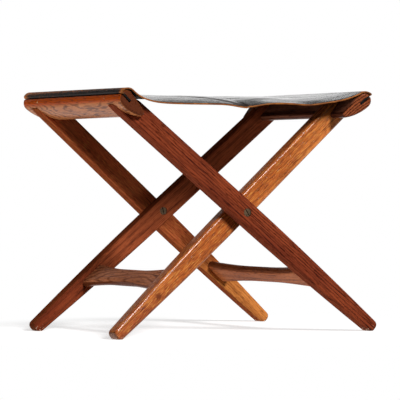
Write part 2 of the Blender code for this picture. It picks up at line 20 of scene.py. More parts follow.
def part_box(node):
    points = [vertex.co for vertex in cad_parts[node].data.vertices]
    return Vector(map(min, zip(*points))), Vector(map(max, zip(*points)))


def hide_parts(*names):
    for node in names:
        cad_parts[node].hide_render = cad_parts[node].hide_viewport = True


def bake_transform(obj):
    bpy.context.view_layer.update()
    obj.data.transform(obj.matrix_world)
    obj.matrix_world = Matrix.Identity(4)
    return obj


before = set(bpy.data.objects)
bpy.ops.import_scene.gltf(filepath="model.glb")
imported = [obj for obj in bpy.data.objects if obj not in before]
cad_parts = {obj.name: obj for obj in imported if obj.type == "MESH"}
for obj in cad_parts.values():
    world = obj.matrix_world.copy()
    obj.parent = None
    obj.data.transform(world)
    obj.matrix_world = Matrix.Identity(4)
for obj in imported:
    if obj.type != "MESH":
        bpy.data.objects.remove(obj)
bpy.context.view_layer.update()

LOG = logging.getLogger("stool")
MM = 0.001
WELD_DISTANCE = 0.01 * MM
SMOOTH_ANGLE = math.radians(35.0)
WHITE = (1.0, 1.0, 1.0, 1.0)
# The rows of a sheet are told apart to the micrometre.
ROW_DIGITS = 6
# The inputs of a node that mixes colours: the share of the second, the first and the second.
SHARE, FIRST, SECOND = 0, 6, 7
# A wave texture of scale 1 repeats once in this length.
WAVE_PERIOD = math.pi / 10

Feed = bpy.types.Node | bpy.types.NodeSocket | float | tuple[float, ...]
Adder = Callable[..., bpy.types.Node]
Band = tuple[float, float]
Place = tuple[float, float, float]


class Axis(Enum):
    """The directions of a board: along its grain, across its face and through its thickness."""

    GRAIN = 0
    FACE = 1
    DEPTH = 2


class Rings(Enum):
    """How the saw shows a board's growth rings: as straight streaks or as arches."""

    STREAKS = "X"
    ARCHES = "SPHERICAL"


class Blend(Enum):
    """What a tone does to those below it: it covers them or stains them."""

    COVER = "MIX"
    STAIN = "MULTIPLY"


def linear(code: str) -> tuple[float, ...]:
    """Turn an sRGB hex colour into a linear one, by the curve of the sRGB standard.

    Args:
        code: The colour as #rrggbb.

    Returns:
        Linear red, green and blue, and a full alpha.
    """
    channels = []
    for byte in bytes.fromhex(code.removeprefix("#")):
        value = byte / 255
        channels.append(value / 12.92 if value <= 0.04045 else ((value + 0.055) / 1.055) ** 2.4)
    return (*channels, 1.0)


def span(side: str, ends: tuple[Feed, Feed]) -> dict[str, Feed]:
    """Name the ends of a range as a node's From or To inputs."""
    return {f"{side} Min": ends[0], f"{side} Max": ends[1]}


def feed(node: bpy.types.Node, feeds: dict[str | int, Feed]) -> None:
    """Link or set the inputs of a node.

    Args:
        node: The node that is fed.
        feeds: For each input, by name or number, a node whose main output is linked to it,
            a socket that is linked to it, or its plain value.
    """
    for key, value in feeds.items():
        if isinstance(value, bpy.types.Node):
            value = next(output for output in value.outputs if output.enabled)
        if isinstance(value, bpy.types.NodeSocket):
            node.id_data.links.new(value, node.inputs[key])
        else:
            node.inputs[key].default_value = value


def add_node(tree: bpy.types.NodeTree, kind: str, feeds: dict[str | int, Feed] | None = None,
             **settings: str | bool) -> bpy.types.Node:
    """Add a node with its settings and its links.

    Args:
        tree: The node tree to add to.
        kind: The node's type, without the prefix that all have.
        feeds: What each input gets.
        settings: Options of the node by name.

    Returns:
        The new node.
    """
    node = tree.nodes.new(f"ShaderNode{kind}")
    for name, value in settings.items():
        setattr(node, name, value)
    feed(node, feeds or {})
    return node


def start_material(name: str) -> tuple[bpy.types.Material, Adder, bpy.types.Node]:
    """Start a material from its plain shader.

    Args:
        name: The material's name.

    Returns:
        The material, what adds nodes to it and its shader.
    """
    made = bpy.data.materials.new(name)
    made.use_nodes = True
    return made, partial(add_node, made.node_tree), made.node_tree.nodes["Principled BSDF"]


def place_shape(name: str, shape: bmesh.types.BMesh) -> bpy.types.Object:
    """Turn a shape into an object of the scene.

    Args:
        name: The object's name.
        shape: The shape, which is freed.

    Returns:
        The object.
    """
    mesh = bpy.data.meshes.new(name)
    shape.to_mesh(mesh)
    shape.free()
    made = bpy.data.objects.new(name, mesh)
    bpy.context.scene.collection.objects.link(made)
    return made


def grain_axes(node: bpy.types.Object) -> tuple[Matrix, Vector]:
    """Find the directions of a board from the spread of its points.

    Args:
        node: The board.

    Returns:
        A matrix whose rows are the directions, longest first, and the board's middle.
    """
    points = np.array([vert.co for vert in node.data.vertices])
    middle = (points.min(axis=0) + points.max(axis=0)) / 2
    rows = np.linalg.svd(points - points.mean(axis=0), full_matrices=False)[2]
    for row in rows[:Axis.DEPTH.value]:
        row *= math.copysign(1.0, row[np.abs(row).argmax()])
    rows[Axis.DEPTH.value] = np.cross(rows[Axis.GRAIN.value], rows[Axis.FACE.value])
    return Matrix(rows.tolist()), Vector(middle)


def dress(name: str, finish: bpy.types.Material) -> None:
    """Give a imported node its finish, and shade its rounded edges smooth.

    Args:
        name: The node.
        finish: The material it gets.
    """
    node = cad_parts[name]
    node.data.materials.clear()
    node.data.materials.append(finish)
    node.data.shade_smooth()
    weld = node.modifiers.new("weld", "WELD")
    weld.merge_threshold = WELD_DISTANCE
    split = node.modifiers.new("sharp_edges", "EDGE_SPLIT")
    split.split_angle = SMOOTH_ANGLE
    split.use_edge_sharp = False
    normals = node.modifiers.new("flat_faces", "WEIGHTED_NORMAL")
    normals.keep_sharp = False
    LOG.info("dressed %s in %s", name, finish.name)


@dataclass(frozen=True)
class OiledTeak:
    """A board of teak, planed, sanded and oiled.

    The heartwood has darker growth rings, which the saw turns into streaks and arches, and open
    pores that show as short dark dashes along the grain, with paler glints between them. The oil
    leaves a low sheen and soaks into the end grain, which has a tone of its own. The narrow edges
    have a tone of their own too, partly the wood's and partly painted light and shade. One end of
    a board can be tinted with painted shade. Toes are worn pale in specks.
    """

    name: str
    pale: str
    heart: str
    dark: str
    # The narrow faces' tone is partly the wood's and partly painted light and shade, for how light falls on
    # them.
    edge: str
    # A face starts to count as edge or end at this square of its lean, and fully does after the turn.
    edge_start: float = 0.5
    end_start: float = 0.1
    turn: float = 0.4
    edge_streaks: float = 1.0
    end_streaks: float = 0.4
    end_grain: str = "#63301a"
    pith: Place = (0.0, 34 * MM, -48 * MM)
    rings: Rings = Rings.STREAKS
    ring_pitch: float = 7 * MM
    ring_share: float = 0.45
    ring_start: float = 0.35
    ring_sway: float = 9 * MM
    rings_per_sway: float = 5.0
    grain_stretch: float = 14.0
    tone_length: float = 60 * MM
    tone_stretch: float = 3.0
    tone_band: Band = (0.35, 0.65)
    fibre_width: float = 2.4 * MM
    fibre_stretch: float = 26.0
    fibre_band: Band = (0.48, 0.72)
    fibre_share: float = 0.8
    # Real pores are about 0.3 mm wide; they are drawn coarser so that they show.
    pore_width: float = 1.7 * MM
    pore_stretch: float = 7.0
    pore_band: Band = (0.55, 0.7)
    pore_share: float = 0.6
    pore_tone: str = "#5a3020"
    pore_depth: float = 0.15 * MM
    pore_relief: float = 0.6
    glint: str = "#e8a552"
    glint_band: Band = (0.44, 0.32)
    glint_share: float = 0.0
    sheen_band: Band = (0.3, 0.7)
    roughness: Band = (0.17, 0.32)
    specular: float = 0.04
    # The heights where the painted shade starts and where it is full.
    painted_shade_reach: Band = (80 * MM, 150 * MM)
    painted_shade_tint: str = "#ffffff"
    knot: Place | None = None
    knot_radius: float = 7 * MM
    knot_fray: float = 12 * MM
    knot_share: float = 0.8
    worn: str = "#d8bfa6"
    toe_height: float = 16 * MM
    toe_wear: float = 0.22
    knock_size: float = 3 * MM
    knock_band: Band = (0.74, 0.84)

    def material(self, node: bpy.types.Object) -> bpy.types.Material:
        """Make this board's material, with its grain along the board.

        Args:
            node: The board that gets it.

        Returns:
            The material.
        """
        made, add, shader = start_material(f"{self.name}_{node.name}")
        axes, middle = grain_axes(node)
        places = add("TexCoord").outputs
        board = add("Mapping", {"Vector": places["Object"], "Rotation": tuple(axes.to_euler()),
                                "Location": tuple(Vector(self.pith) - axes @ middle)}, vector_type="POINT")
        # The board's coordinates are drawn out along the grain, for each pattern by its own stretch.
        long_grain, fibre_grain, tone_grain, pore_grain = (
            add("VectorMath", {0: board, 1: (1 / times, 1.0, 1.0)}, operation="MULTIPLY")
            for times in (self.grain_stretch, self.fibre_stretch, self.tone_stretch, self.pore_stretch))

        def facing(axis: Axis, start: float) -> bpy.types.Node:
            """Find the faces that look along one of the board's directions.

            Args:
                axis: The direction.
                start: The square of a face's lean at which it starts to count.

            Returns:
                A node that gives 1 for such faces and 0 for all others.
            """
            lean = add("VectorMath", {0: places["Normal"], 1: tuple(axes[axis.value])},
                       operation="DOT_PRODUCT")
            squared = add("Math", {0: lean, 1: lean}, operation="MULTIPLY")
            return add("MapRange", {"Value": squared, **span("From", (start, start + self.turn))},
                       interpolation_type="SMOOTHSTEP")

        sway = add("TexNoise", {"Vector": long_grain, "Detail": 2.0,
                                "Scale": 1 / (self.rings_per_sway * self.ring_pitch)})
        swayed = add("VectorMath", {0: sway.outputs["Color"], 1: (2 * self.ring_sway,) * 3, 2: long_grain},
                     operation="MULTIPLY_ADD")
        rings = add("TexWave", {"Vector": swayed, "Scale": WAVE_PERIOD / self.ring_pitch},
                    wave_type="RINGS", rings_direction=self.rings.value)
        late_wood = add("MapRange", {"Value": rings.outputs["Fac"], "From Min": self.ring_start},
                        interpolation_type="SMOOTHSTEP")
        fibre = add("TexNoise", {"Vector": fibre_grain, "Scale": 1 / self.fibre_width, "Detail": 4.0,
                                 "Roughness": 0.65})
        dark_fibre = add("MapRange", {"Value": fibre, **span("From", self.fibre_band),
                                      "To Max": self.fibre_share})
        patches = add("TexNoise", {"Vector": tone_grain, "Scale": 1 / self.tone_length, "Detail": 2.0})
        toned = add("MapRange", {"Value": patches, **span("From", self.tone_band)},
                    interpolation_type="SMOOTHSTEP")
        pores = add("TexNoise", {"Vector": pore_grain, "Scale": 1 / self.pore_width, "Detail": 1.0})
        open_pore = add("MapRange", {"Value": pores, **span("From", self.pore_band)})
        pored = add("Math", {0: open_pore, 1: self.pore_share}, operation="MULTIPLY")
        glints = add("MapRange", {"Value": pores, **span("From", self.glint_band),
                                  "To Max": self.glint_share})

        cut_end = facing(Axis.GRAIN, self.end_start)
        # The narrow faces' tone carries painted light and shade as well as the wood's own.
        edge_tone_and_light = facing(Axis.FACE, self.edge_start)
        lengthwise = add("MapRange", {"Value": edge_tone_and_light, **span("To", (1.0, self.edge_streaks))})
        along = add("MapRange", {"Value": cut_end, **span("To", (lengthwise, self.end_streaks))})
        streaks = add("Math", {0: late_wood, 1: self.ring_share, 2: dark_fibre},
                      operation="MULTIPLY_ADD", use_clamp=True)
        seen_streaks = add("Math", {0: streaks, 1: along}, operation="MULTIPLY")

        height = add("SeparateXYZ", {"Vector": places["Object"]}).outputs["Z"]
        # The tint towards one end is painted shade.
        shaded_end = add("MapRange", {"Value": height, **span("From", self.painted_shade_reach)})
        low = add("MapRange", {"Value": height, "From Max": self.toe_height,
                               **span("To", (self.toe_wear, 0.0))})
        knocks = add("TexNoise", {"Vector": board, "Scale": 1 / self.knock_size, "Detail": 3.0,
                                  "Roughness": 0.7})
        knocked = add("Math", {0: low, 1: knocks}, operation="ADD")
        bare = add("MapRange", {"Value": knocked, **span("From", self.knock_band)})
        knotted: Feed = 0.0
        if self.knot:
            frayed = add("VectorMath", {0: knocks.outputs["Color"], 1: (self.knot_fray,) * 3,
                                        2: places["Object"]}, operation="MULTIPLY_ADD")
            heart = tuple(place + self.knot_fray / 2 for place in self.knot)
            away = add("VectorMath", {0: frayed, 1: heart}, operation="DISTANCE")
            knotted = add("MapRange", {"Value": away, "To Max": self.knot_share,
                                       **span("From", (self.knot_radius, self.knot_radius / 2))})

        colour: Feed = linear(self.pale)
        for share, tone, blend in (
                (toned, self.heart, Blend.COVER), (shaded_end, self.painted_shade_tint, Blend.STAIN),
                (edge_tone_and_light, self.edge, Blend.COVER), (cut_end, self.end_grain, Blend.COVER),
                (seen_streaks, self.dark, Blend.COVER), (pored, self.pore_tone, Blend.STAIN),
                (glints, self.glint, Blend.COVER), (knotted, self.dark, Blend.COVER),
                (bare, self.worn, Blend.COVER)):
            colour = add("Mix", {SHARE: share, FIRST: colour, SECOND: linear(tone)},
                         data_type="RGBA", blend_type=blend.value)
        sheen = add("MapRange", {"Value": fibre, **span("From", self.sheen_band),
                                 **span("To", self.roughness)})
        relief = add("Bump", {"Height": open_pore, "Distance": self.pore_depth,
                              "Strength": self.pore_relief}, invert=True)
        feed(shader, {"Base Color": colour, "Roughness": sheen, "Normal": relief,
                      "Specular IOR Level": self.specular})
        return made


@dataclass(frozen=True)
class StainedWedge:
    """A sawn strip of hardwood, stained near black: dull, with faint paler lines along the saw cut."""

    name: str = "stained_wedge_strip"
    stain: str = "#0d1516"
    worn: str = "#25383a"
    line_pitch: float = 1.6 * MM
    line_shrink: float = 0.06
    line_band: Band = (0.52, 0.7)
    line_depth: float = 0.1 * MM
    line_relief: float = 0.5
    roughness: float = 0.8
    specular: float = 0.1

    def material(self) -> bpy.types.Material:
        """Make the stain, with lines along the strip.

        Returns:
            The material.
        """
        made, add, shader = start_material(self.name)
        drawn = add("VectorMath", {0: add("TexCoord").outputs["Object"], 1: (1.0, self.line_shrink, 1.0)},
                    operation="MULTIPLY")
        lines = add("TexNoise", {"Vector": drawn, "Scale": 1 / self.line_pitch, "Detail": 3.0})
        rubbed = add("MapRange", {"Value": lines, **span("From", self.line_band)})
        colour = add("Mix", {SHARE: rubbed, FIRST: linear(self.stain), SECOND: linear(self.worn)},
                     data_type="RGBA")
        relief = add("Bump", {"Height": lines, "Distance": self.line_depth, "Strength": self.line_relief})
        feed(shader, {"Base Color": colour, "Normal": relief, "Roughness": self.roughness,
                      "Specular IOR Level": self.specular})
        return made


@dataclass(frozen=True)
class EndGrainPeg:
    """A turned hardwood peg cut flush: its end grain drinks oil, so it is matt with fine dark specks."""

    name: str
    ground: str
    speck: str
    # Real vessels are about 0.2 mm; they are drawn coarser so that they show.
    vessel_size: float = 0.8 * MM
    vessel_band: Band = (0.4, 0.15)
    roughness: float = 0.6

    def material(self) -> bpy.types.Material:
        """Make the peg's end grain.

        Returns:
            The material.
        """
        made, add, shader = start_material(self.name)
        vessels = add("TexVoronoi", {"Vector": add("TexCoord").outputs["Object"],
                                     "Scale": 1 / self.vessel_size})
        specks = add("MapRange", {"Value": vessels, **span("From", self.vessel_band)})
        colour = add("Mix", {SHARE: specks, FIRST: linear(self.ground), SECOND: linear(self.speck)},
                     data_type="RGBA")
        feed(shader, {"Base Color": colour, "Roughness": self.roughness})
        return made


@dataclass(frozen=True)
class TurnedMetal:
    """Metal turned on a lathe and dulled with age: a grey-brown film in blotches over fine tool marks.

    Shade is painted into whatever lies deeper than the turned face, so that a slot reads as a dark line.
    """

    name: str
    bright: str
    film: str
    roughness: Band = (0.34, 0.55)
    blotch_size: float = 4 * MM
    blotch_band: Band = (0.35, 0.65)
    # Real tool marks are about 0.1 mm apart; they are drawn coarser so that they show.
    mark_pitch: float = 0.6 * MM
    mark_depth: float = 0.01 * MM
    mark_relief: float = 0.4
    # Painted shade for whatever lies deeper than the turned face, and the depths where it starts and is
    # full.
    painted_slot_shade: str = "#120d09"
    slot_shade_depth: Band = (0.5 * MM, 0.8 * MM)

    def material(self, centre: Vector, face: float) -> bpy.types.Material:
        """Make the metal, with tool marks round an axis along Y.

        Args:
            centre: A point on that axis inside the metal.
            face: The Y of the turned face.

        Returns:
            The material.
        """
        made, add, shader = start_material(self.name)
        coords = add("TexCoord").outputs["Object"]
        turned = add("Mapping", {"Vector": coords, "Location": tuple(-centre)}, vector_type="POINT")
        marks = add("TexWave", {"Vector": turned, "Scale": WAVE_PERIOD / self.mark_pitch,
                                "Distortion": 1.5, "Detail": 1.0}, wave_type="RINGS", rings_direction="Y")
        blotches = add("TexNoise", {"Vector": coords, "Scale": 1 / self.blotch_size, "Detail": 3.0})
        filmed = add("MapRange", {"Value": blotches, **span("From", self.blotch_band)})
        height = add("SeparateXYZ", {"Vector": coords}).outputs["Y"]
        # Shade is painted where the metal lies deeper than the turned face, as in the slot.
        inward = math.copysign(1.0, centre.y - face)
        slot_shade_from = tuple(face + inward * depth for depth in self.slot_shade_depth)
        slot_shaded = add("MapRange", {"Value": height, **span("From", slot_shade_from)})
        colour: Feed = linear(self.bright)
        for share, tone in ((filmed, self.film), (slot_shaded, self.painted_slot_shade)):
            colour = add("Mix", {SHARE: share, FIRST: colour, SECOND: linear(tone)}, data_type="RGBA")
        dulled = add("MapRange", {"Value": filmed, **span("To", self.roughness)})
        relief = add("Bump", {"Height": marks.outputs["Fac"], "Distance": self.mark_depth,
                              "Strength": self.mark_relief})
        feed(shader, {"Base Color": colour, "Roughness": dulled, "Normal": relief, "Metallic": 1.0})
        return made


@dataclass(frozen=True)
class SaddleLeather:
    """Thick vegetable-tanned leather, dyed black and waxed on its grain side.

    The waxed grain mirrors the room at a low angle. Fine stretch wrinkles run from rail to rail,
    broad ripples have gone dull and brownish, and the dye is rubbed through to tan on the rails.
    Along a crease, shade is painted into the reflection: there the gloss and the coat are taken
    away and the colour turns brownish.
    """

    name: str = "black_saddle_leather_grain"
    dye: str = "#171210"
    rubbed: str = "#b4662a"
    # The brownish tone of dull leather, also laid along the crease as part of its painted shade.
    dulled: str = "#2e211d"
    # The wax thickens over the reach and thins again over the fall, both from left to right.
    wax: Band = (0.34, 0.78)
    wax_reach: Band = (-160 * MM, 40 * MM)
    wax_fall: Band = (90 * MM, 240 * MM)
    wax_left: float = 0.35
    wax_roughness: float = 0.12
    wax_limit: float = 0.3
    ripple_width: float = 34 * MM
    ripple_stretch: float = 3.0
    ripple_band: Band = (0.46, 0.72)
    ripple_share: float = 0.3
    rear_reach: Band = (100 * MM, 170 * MM)
    rear_lift: float = 0.12
    wrinkle_width: float = 6 * MM
    wrinkle_stretch: float = 14.0
    wrinkle_band: Band = (0.35, 0.65)
    wrinkle_depth: float = 0.7 * MM
    wrinkle_relief: float = 0.8
    crack_band: Band = (0.58, 0.7)
    crack_share: float = 0.4
    # Real pores are about 0.5 mm; they are drawn coarser so that they show.
    pebble_size: float = 2.4 * MM
    pebble_depth: float = 0.1 * MM
    pebble_relief: float = 0.5
    scuff_size: float = 4 * MM
    scuff_band: Band = (0.88, 1.08)
    handled_band: Band = (0.15, 0.3)
    handled_share: float = 0.8
    roughness: Band = (0.08, 0.26)
    dull_roughness: float = 0.55
    specular: float = 0.42
    dull_specular: float = 0.02

    def material(self, cut: str, wear: str, crease_shaded: str) -> bpy.types.Material:
        """Make the grain side.

        Args:
            cut: The UV map that holds the flat sheet in metres.
            wear: The attribute that says where the dye is rubbed.
            crease_shaded: The attribute that says where shade is painted along the crease.

        Returns:
            The material.
        """
        made, add, shader = start_material(self.name)
        flat = add("UVMap", uv_map=cut)
        sides = add("SeparateXYZ", {"Vector": flat}).outputs
        # The second attribute holds the shade that is painted along the crease.
        worn, crease = (add("Attribute", attribute_name=name).outputs["Fac"] for name in (wear, crease_shaded))
        # The flat sheet is drawn out from rail to rail, for each pattern by its own stretch.
        fine, broad = (add("VectorMath", {0: flat, 1: (1 / times, 1.0, 1.0)}, operation="MULTIPLY")
                       for times in (self.wrinkle_stretch, self.ripple_stretch))

        wrinkles = add("TexNoise", {"Vector": fine, "Scale": 1 / self.wrinkle_width, "Detail": 5.0,
                                    "Roughness": 0.65, "Distortion": 0.5})
        cracks = add("MapRange", {"Value": wrinkles, **span("From", self.crack_band),
                                  "To Max": self.crack_share})
        ripples = add("TexNoise", {"Vector": broad, "Scale": 1 / self.ripple_width, "Detail": 3.0,
                                   "Roughness": 0.6})
        to_rear = add("MapRange", {"Value": sides["Y"], **span("From", self.rear_reach),
                                   "To Max": self.rear_lift})
        lifted = add("Math", {0: ripples, 1: to_rear}, operation="ADD")
        rippled = add("MapRange", {"Value": lifted, **span("From", self.ripple_band),
                                   "To Max": self.ripple_share})
        streaked = add("Math", {0: rippled, 1: cracks}, operation="MAXIMUM")
        # The crease's painted shade joins the dull ripples and cracks here, taking gloss and coat away.
        cracked_and_crease_shade = add("Math", {0: crease, 1: streaked}, operation="MAXIMUM")
        handled = add("MapRange", {"Value": worn, **span("From", self.handled_band),
                                   "To Max": self.handled_share})
        dry_and_crease_shade = add("Math", {0: cracked_and_crease_shade, 1: handled}, operation="MAXIMUM")
        scuffs = add("TexNoise", {"Vector": flat, "Scale": 1 / self.scuff_size, "Detail": 6.0,
                                  "Roughness": 0.75})
        scraped = add("Math", {0: worn, 1: scuffs}, operation="ADD")
        rubbed = add("MapRange", {"Value": scraped, **span("From", self.scuff_band)},
                     interpolation_type="SMOOTHSTEP")

        colour: Feed = linear(self.dye)
        for share, tone in ((cracked_and_crease_shade, self.dulled), (rubbed, self.rubbed)):
            colour = add("Mix", {SHARE: share, FIRST: colour, SECOND: linear(tone)}, data_type="RGBA")
        polish = add("MapRange", {"Value": wrinkles, **span("From", self.wrinkle_band),
                                  **span("To", self.roughness)})
        dulled = add("MapRange", {"Value": dry_and_crease_shade, **span("To", (polish, self.dull_roughness))})
        gloss = add("MapRange", {"Value": dry_and_crease_shade, **span("To", (self.specular, self.dull_specular))})
        buffed = add("MapRange", {"Value": sides["X"], **span("From", self.wax_reach),
                                  **span("To", self.wax)})
        kept = add("MapRange", {"Value": sides["X"], **span("From", self.wax_fall),
                                **span("To", (1.0, self.wax_left))})
        full = add("Math", {0: buffed, 1: kept}, operation="MULTIPLY")
        film = add("MapRange", {"Value": dry_and_crease_shade, "From Max": self.wax_limit, **span("To", (full, 0.0))})
        folds = add("Bump", {"Height": wrinkles, "Distance": self.wrinkle_depth,
                             "Strength": self.wrinkle_relief})
        pebbles = add("TexVoronoi", {"Vector": flat, "Scale": 1 / self.pebble_size}, feature="SMOOTH_F1")
        grain = add("Bump", {"Height": pebbles, "Distance": self.pebble_depth,
                             "Strength": self.pebble_relief, "Normal": folds})
        feed(shader, {"Base Color": colour, "Roughness": dulled, "Specular IOR Level": gloss,
                      "Normal": grain, "Coat Weight": film, "Coat Roughness": self.wax_roughness,
                      "Coat Normal": grain})
        return made


@dataclass(frozen=True)
class CutLeatherEdge:
    """A knife-cut leather edge, left undyed: tan fibre, darkened in patches by handling, quite matt.

    The ends in the slits are painted black as shade, and the rim darkens over the rails towards them.
    """

    name: str = "tan_cut_leather_edge"
    tan: str = "#b06a31"
    handled: str = "#713a16"
    # Painted shade for the ends in the slits; the rim over the rails darkens towards it.
    painted_slit_shade: str = "#080605"
    patch_length: float = 14 * MM
    patch_band: Band = (0.4, 0.68)
    patch_depth: float = 0.3 * MM
    patch_relief: float = 0.5
    roughness: float = 0.7
    specular: float = 0.2

    def material(self, cut: str, slit: str) -> bpy.types.Material:
        """Make the cut edge.

        Args:
            cut: The UV map that holds the flat sheet in metres.
            slit: The attribute that says where the rim gets the painted slit shade.

        Returns:
            The material.
        """
        made, add, shader = start_material(self.name)
        patches = add("TexNoise", {"Vector": add("UVMap", uv_map=cut), "Scale": 1 / self.patch_length,
                                   "Detail": 5.0, "Roughness": 0.7})
        darkened = add("MapRange", {"Value": patches, **span("From", self.patch_band)})
        # The ends in the slits get painted shade, and the rim over the rails darkens towards them.
        slit_shaded = add("Attribute", attribute_name=slit).outputs["Fac"]
        colour: Feed = linear(self.tan)
        for share, tone in ((darkened, self.handled), (slit_shaded, self.painted_slit_shade)):
            colour = add("Mix", {SHARE: share, FIRST: colour, SECOND: linear(tone)}, data_type="RGBA")
        relief = add("Bump", {"Height": patches, "Distance": self.patch_depth,
                              "Strength": self.patch_relief})
        feed(shader, {"Base Color": colour, "Normal": relief, "Roughness": self.roughness,
                      "Specular IOR Level": self.specular})
        return made


@dataclass(frozen=True)
class FleshSide:
    """The flesh side of the leather, brushed: a nap painted dark brown as the shade under the seat, with
    soft paler strokes.
    """

    name: str = "brushed_flesh_side"
    # The nap's dark brown is painted shade.
    painted_shade_nap: str = "#170d09"
    stroke: str = "#2c1a11"
    stroke_width: float = 6 * MM
    stroke_band: Band = (0.4, 0.7)
    stroke_depth: float = 0.3 * MM
    stroke_relief: float = 0.4
    roughness: float = 0.95
    specular: float = 0.05

    def material(self, cut: str) -> bpy.types.Material:
        """Make the flesh side.

        Args:
            cut: The UV map that holds the flat sheet in metres.

        Returns:
            The material.
        """
        made, add, shader = start_material(self.name)
        strokes = add("TexNoise", {"Vector": add("UVMap", uv_map=cut), "Scale": 1 / self.stroke_width,
                                   "Detail": 6.0, "Roughness": 0.7, "Distortion": 0.8})
        raised = add("MapRange", {"Value": strokes, **span("From", self.stroke_band)})
        colour = add("Mix", {SHARE: raised, FIRST: linear(self.painted_shade_nap), SECOND: linear(self.stroke)},
                     data_type="RGBA")
        relief = add("Bump", {"Height": strokes, "Distance": self.stroke_depth,
                              "Strength": self.stroke_relief})
        feed(shader, {"Base Color": colour, "Normal": relief, "Roughness": self.roughness,
                      "Specular IOR Level": self.specular})
        return made


@dataclass(frozen=True)
class PhotoCamera:
    """The camera that the photo was taken with, fitted to the edges of the stool."""

    azimuth: float = math.radians(-30.053)
    pitch: float = math.radians(0.602)
    roll: float = math.radians(-0.296)
    target: Place = (6.432 * MM, 0.0, 216.683 * MM)
    distance: float = 4498.18 * MM
    lens: float = 243.0
    sensor: float = 36.0

    def build(self) -> None:
        """Place the camera and make it the scene's own."""
        level = math.cos(self.pitch)
        forward = Vector((-math.sin(self.azimuth) * level, math.cos(self.azimuth) * level,
                          -math.sin(self.pitch)))
        right = Vector((math.cos(self.azimuth), math.sin(self.azimuth), 0.0))
        up = right.cross(forward)
        rolled_right = math.cos(self.roll) * right + math.sin(self.roll) * up
        rolled_up = math.cos(self.roll) * up - math.sin(self.roll) * right
        data = bpy.data.cameras.new("photo_camera")
        data.lens = self.lens
        data.sensor_width = self.sensor
        camera = bpy.data.objects.new("photo_camera", data)
        turn = Matrix((rolled_right, rolled_up, -forward)).transposed().to_4x4()
        camera.matrix_world = Matrix.Translation(Vector(self.target) - forward * self.distance) @ turn
        bpy.context.scene.collection.objects.link(camera)
        bpy.context.scene.camera = camera


@dataclass(frozen=True)
class SoftLamp:
    """A far lamp with a broad face; its angles are in degrees, and azimuth runs from front to right."""

    name: str
    azimuth: float
    height: float
    strength: float
    spread: float
    mirrored: bool = True

    def build(self) -> None:
        """Hang the lamp."""
        data = bpy.data.lights.new(self.name, "SUN")
        data.energy = self.strength
        data.angle = math.radians(self.spread)
        lamp = bpy.data.objects.new(self.name, data)
        azimuth, height = math.radians(self.azimuth), math.radians(self.height)
        level = math.cos(height)
        towards = Vector((math.sin(azimuth) * level, -math.cos(azimuth) * level, math.sin(height)))
        lamp.rotation_euler = towards.to_track_quat("Z", "Y").to_euler()
        lamp.visible_glossy = self.mirrored
        bpy.context.scene.collection.objects.link(lamp)


